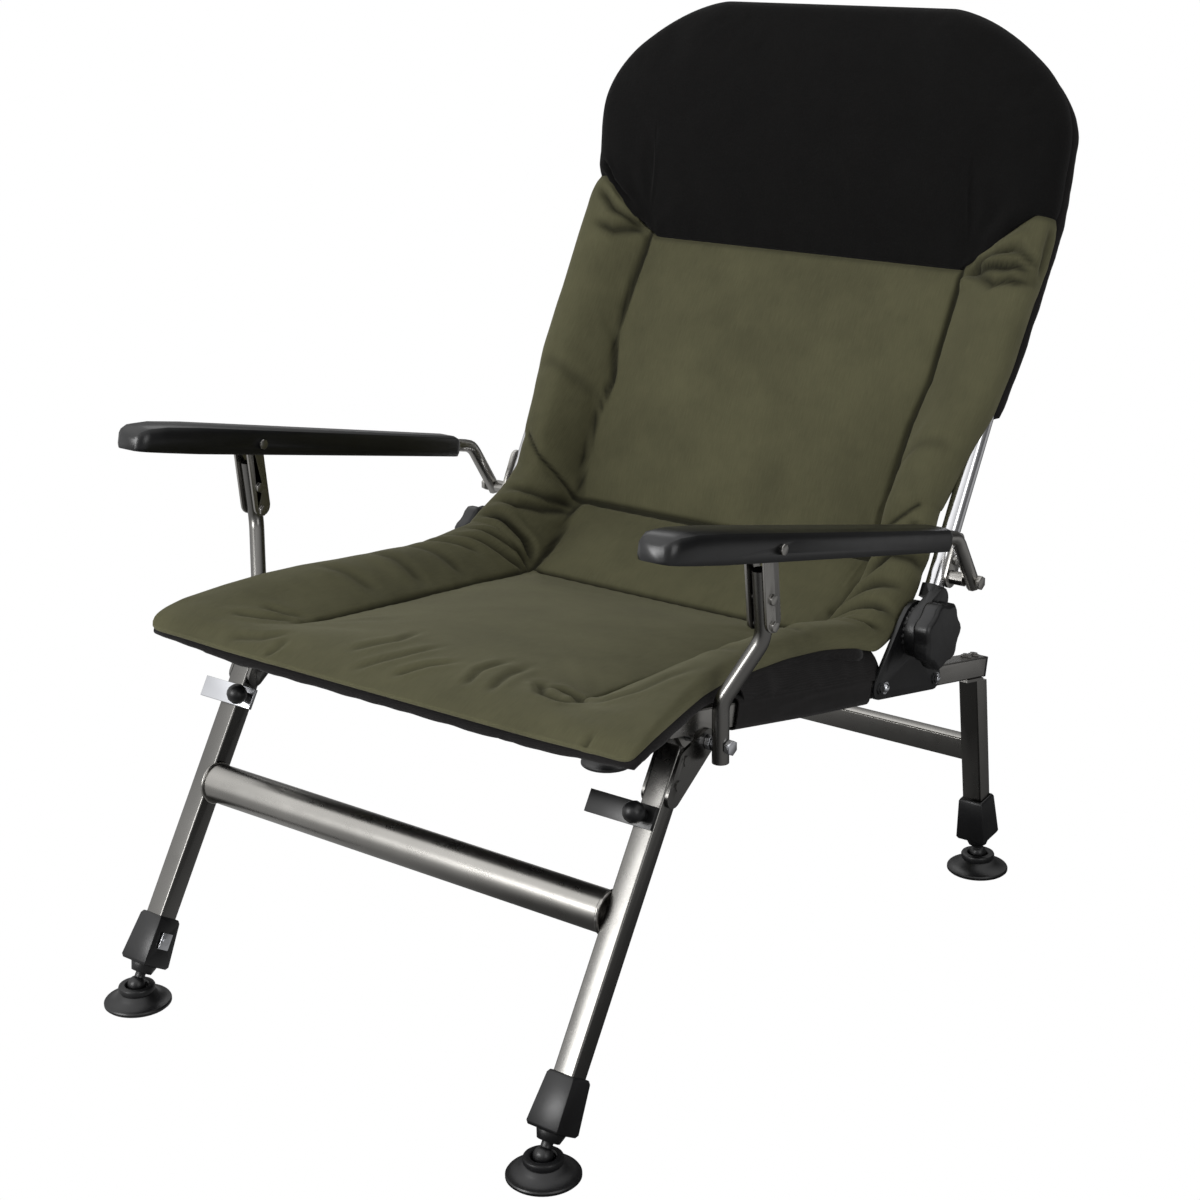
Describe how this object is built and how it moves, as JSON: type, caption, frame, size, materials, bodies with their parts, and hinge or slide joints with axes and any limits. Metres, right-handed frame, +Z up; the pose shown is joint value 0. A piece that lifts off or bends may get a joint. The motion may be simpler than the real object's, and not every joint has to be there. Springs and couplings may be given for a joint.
{
  "type": "carp fishing chair",
  "caption": "Low padded fishing chair: folding square-tube frame, reclining back with linked armrests, telescopic legs with swivelling mud feet.",
  "frame": {"origin": "on the ground, under the middle of the chair's width and depth", "axes": "+Z up, the sitter faces -Y, +X is the sitter's left; left and right in names are as seen from the front"},
  "size_m": [0.6512, 0.8634, 0.8852],
  "materials": {
    "graphite_steel": "satin metallic",
    "bright_tube": "polished",
    "zinc_fastener": "zinc plated",
    "black_plastic": "moulded",
    "armrest_plastic": "satin moulded",
    "black_fabric": "woven polyester",
    "olive_fabric": "padded woven polyester",
    "black_fleece": "short fleece"
  },
  "bodies": {
    "frame": {"rail_left": "graphite_steel", "rail_right": "graphite_steel", "rail_end_cap_left": "black_plastic", "rail_end_cap_right": "black_plastic", "rail_sleeve_left": "black_fabric", "rail_sleeve_right": "black_fabric", "seat_front_tube": "graphite_steel", "seat_front_hem": "black_fabric", "pivot_bolt_left": "zinc_fastener", "pivot_bolt_right": "zinc_fastener", "rear_leg_left": "graphite_steel", "rear_leg_right": "graphite_steel", "rear_crossbar": "graphite_steel", "leg_collar_rear_left": "black_plastic", "leg_collar_rear_right": "black_plastic", "hinge_plate_left": "black_plastic", "hinge_plate_right": "black_plastic", "hinge_pin_left": "zinc_fastener", "hinge_pin_right": "zinc_fastener", "seat_pad": "olive_fabric"},
    "front_legs": {"front_leg_left": "graphite_steel", "front_leg_right": "graphite_steel", "front_crossbar": "graphite_steel", "leg_collar_front_left": "black_plastic", "leg_collar_front_right": "black_plastic"},
    "back": {"back_frame": "bright_tube", "lumbar_pad": "olive_fabric", "back_pad": "olive_fabric", "head_pad": "black_fleece", "hinge_arm_left": "black_plastic", "hinge_arm_right": "black_plastic", "arm_bracket_left": "graphite_steel", "arm_bracket_right": "graphite_steel"},
    "strut_left": {"arm_strut_left": "graphite_steel", "strut_channel_left": "graphite_steel"},
    "arm_left": {"armrest_left": "armrest_plastic", "arm_tube_left": "graphite_steel"},
    "recline_knob_left": {"hinge_knob_left": "black_plastic"},
    "latch_left": {"latch_bar_left": "zinc_fastener", "latch_knob_left": "black_plastic"},
    "strut_right": {"arm_strut_right": "graphite_steel", "strut_channel_right": "graphite_steel"},
    "arm_right": {"armrest_right": "armrest_plastic", "arm_tube_right": "graphite_steel"},
    "recline_knob_right": {"hinge_knob_right": "black_plastic"},
    "latch_right": {"latch_bar_right": "zinc_fastener", "latch_knob_right": "black_plastic"},
    "stem_front_left": {"telescopic_stem_front_left": "black_plastic"},
    "foot_front_left": {"mud_foot_front_left": "black_plastic"},
    "button_front_left": {"spring_button_front_left": "zinc_fastener"},
    "stem_front_right": {"telescopic_stem_front_right": "black_plastic"},
    "foot_front_right": {"mud_foot_front_right": "black_plastic"},
    "button_front_right": {"spring_button_front_right": "zinc_fastener"},
    "stem_rear_left": {"telescopic_stem_rear_left": "black_plastic"},
    "foot_rear_left": {"mud_foot_rear_left": "black_plastic"},
    "button_rear_left": {"spring_button_rear_left": "zinc_fastener"},
    "stem_rear_right": {"telescopic_stem_rear_right": "black_plastic"},
    "foot_rear_right": {"mud_foot_rear_right": "black_plastic"},
    "button_rear_right": {"spring_button_rear_right": "zinc_fastener"}
  },
  "joints": [
    {"name": "front_legs_fold", "type": "hinge", "parent": "frame", "child": "front_legs", "pos_m": [0, -0.18522, 0.31891], "axis": [1, 0, 0], "range_deg": [0, 105]},
    {"name": "back_recline", "type": "hinge", "parent": "frame", "child": "back", "pos_m": [0, 0.15757, 0.323], "axis": [1, 0, 0], "range_deg": [-20, 90]},
    {"name": "strut_swing_left", "type": "hinge", "parent": "frame", "child": "strut_left", "pos_m": [-0.3013, -0.18522, 0.31891], "axis": [1, 0, 0], "range_deg": [-7.5, 32]},
    {"name": "armrest_tilt_left", "type": "hinge", "parent": "strut_left", "child": "arm_left", "pos_m": [-0.3013, -0.16543, 0.495], "axis": [1, 0, 0], "range_deg": [-28.5, 6.8]},
    {"name": "recline_knob_turn_left", "type": "hinge", "parent": "frame", "child": "recline_knob_left", "pos_m": [-0.29, 0.15757, 0.323], "axis": [1, 0, 0], "range_deg": [-180, 180]},
    {"name": "latch_swing_left", "type": "hinge", "parent": "front_legs", "child": "latch_left", "pos_m": [-0.2493, -0.25618, 0.27129], "axis": [0, -0.848, 0.5299], "range_deg": [-90, 0]},
    {"name": "strut_swing_right", "type": "hinge", "parent": "frame", "child": "strut_right", "pos_m": [0.3013, -0.18522, 0.31891], "axis": [1, 0, 0], "range_deg": [-7.5, 32]},
    {"name": "armrest_tilt_right", "type": "hinge", "parent": "strut_right", "child": "arm_right", "pos_m": [0.3013, -0.16543, 0.495], "axis": [1, 0, 0], "range_deg": [-28.5, 6.8]},
    {"name": "recline_knob_turn_right", "type": "hinge", "parent": "frame", "child": "recline_knob_right", "pos_m": [0.29, 0.15757, 0.323], "axis": [1, 0, 0], "range_deg": [-180, 180]},
    {"name": "latch_swing_right", "type": "hinge", "parent": "front_legs", "child": "latch_right", "pos_m": [0.2493, -0.25618, 0.27129], "axis": [0, -0.848, 0.5299], "range_deg": [0, 90]},
    {"name": "leg_length_front_left", "type": "slide", "parent": "front_legs", "child": "stem_front_left", "axis": [0, 0.5299, 0.848], "range_m": [-0.1, 0]},
    {"name": "foot_tilt_front_left", "type": "hinge", "parent": "stem_front_left", "child": "foot_front_left", "pos_m": [-0.2493, -0.39968, 0.019], "axis": [1, 0, 0], "range_deg": [-12, 12]},
    {"name": "button_press_front_left", "type": "slide", "parent": "front_legs", "child": "button_front_left", "axis": [-1, 0, 0], "range_m": [0, 0.0024], "stiffness_N_per_m": 800, "springref_m": -0.002},
    {"name": "leg_length_front_right", "type": "slide", "parent": "front_legs", "child": "stem_front_right", "axis": [0, 0.5299, 0.848], "range_m": [-0.1, 0]},
    {"name": "foot_tilt_front_right", "type": "hinge", "parent": "stem_front_right", "child": "foot_front_right", "pos_m": [0.2493, -0.39968, 0.019], "axis": [1, 0, 0], "range_deg": [-12, 12]},
    {"name": "button_press_front_right", "type": "slide", "parent": "front_legs", "child": "button_front_right", "axis": [1, 0, 0], "range_m": [0, 0.0024], "stiffness_N_per_m": 800, "springref_m": -0.002},
    {"name": "leg_length_rear_left", "type": "slide", "parent": "frame", "child": "stem_rear_left", "axis": [0, -0.1288, 0.9917], "range_m": [-0.1, 0]},
    {"name": "foot_tilt_rear_left", "type": "hinge", "parent": "stem_rear_left", "child": "foot_rear_left", "pos_m": [-0.2493, 0.33482, 0.019], "axis": [1, 0, 0], "range_deg": [-12, 12]},
    {"name": "button_press_rear_left", "type": "slide", "parent": "frame", "child": "button_rear_left", "axis": [-1, 0, 0], "range_m": [0, 0.0024], "stiffness_N_per_m": 800, "springref_m": -0.002},
    {"name": "leg_length_rear_right", "type": "slide", "parent": "frame", "child": "stem_rear_right", "axis": [0, -0.1288, 0.9917], "range_m": [-0.1, 0]},
    {"name": "foot_tilt_rear_right", "type": "hinge", "parent": "stem_rear_right", "child": "foot_rear_right", "pos_m": [0.2493, 0.33482, 0.019], "axis": [1, 0, 0], "range_deg": [-12, 12]},
    {"name": "button_press_rear_right", "type": "slide", "parent": "frame", "child": "button_rear_right", "axis": [1, 0, 0], "range_m": [0, 0.0024], "stiffness_N_per_m": 800, "springref_m": -0.002}
  ],
  "couplings": [
    {"joint": "strut_swing_left", "follows": "back_recline", "ratio": 0.348},
    {"joint": "armrest_tilt_left", "follows": "back_recline", "ratio": -0.308},
    {"joint": "strut_swing_right", "follows": "back_recline", "ratio": 0.348},
    {"joint": "armrest_tilt_right", "follows": "back_recline", "ratio": -0.308}
  ]
}
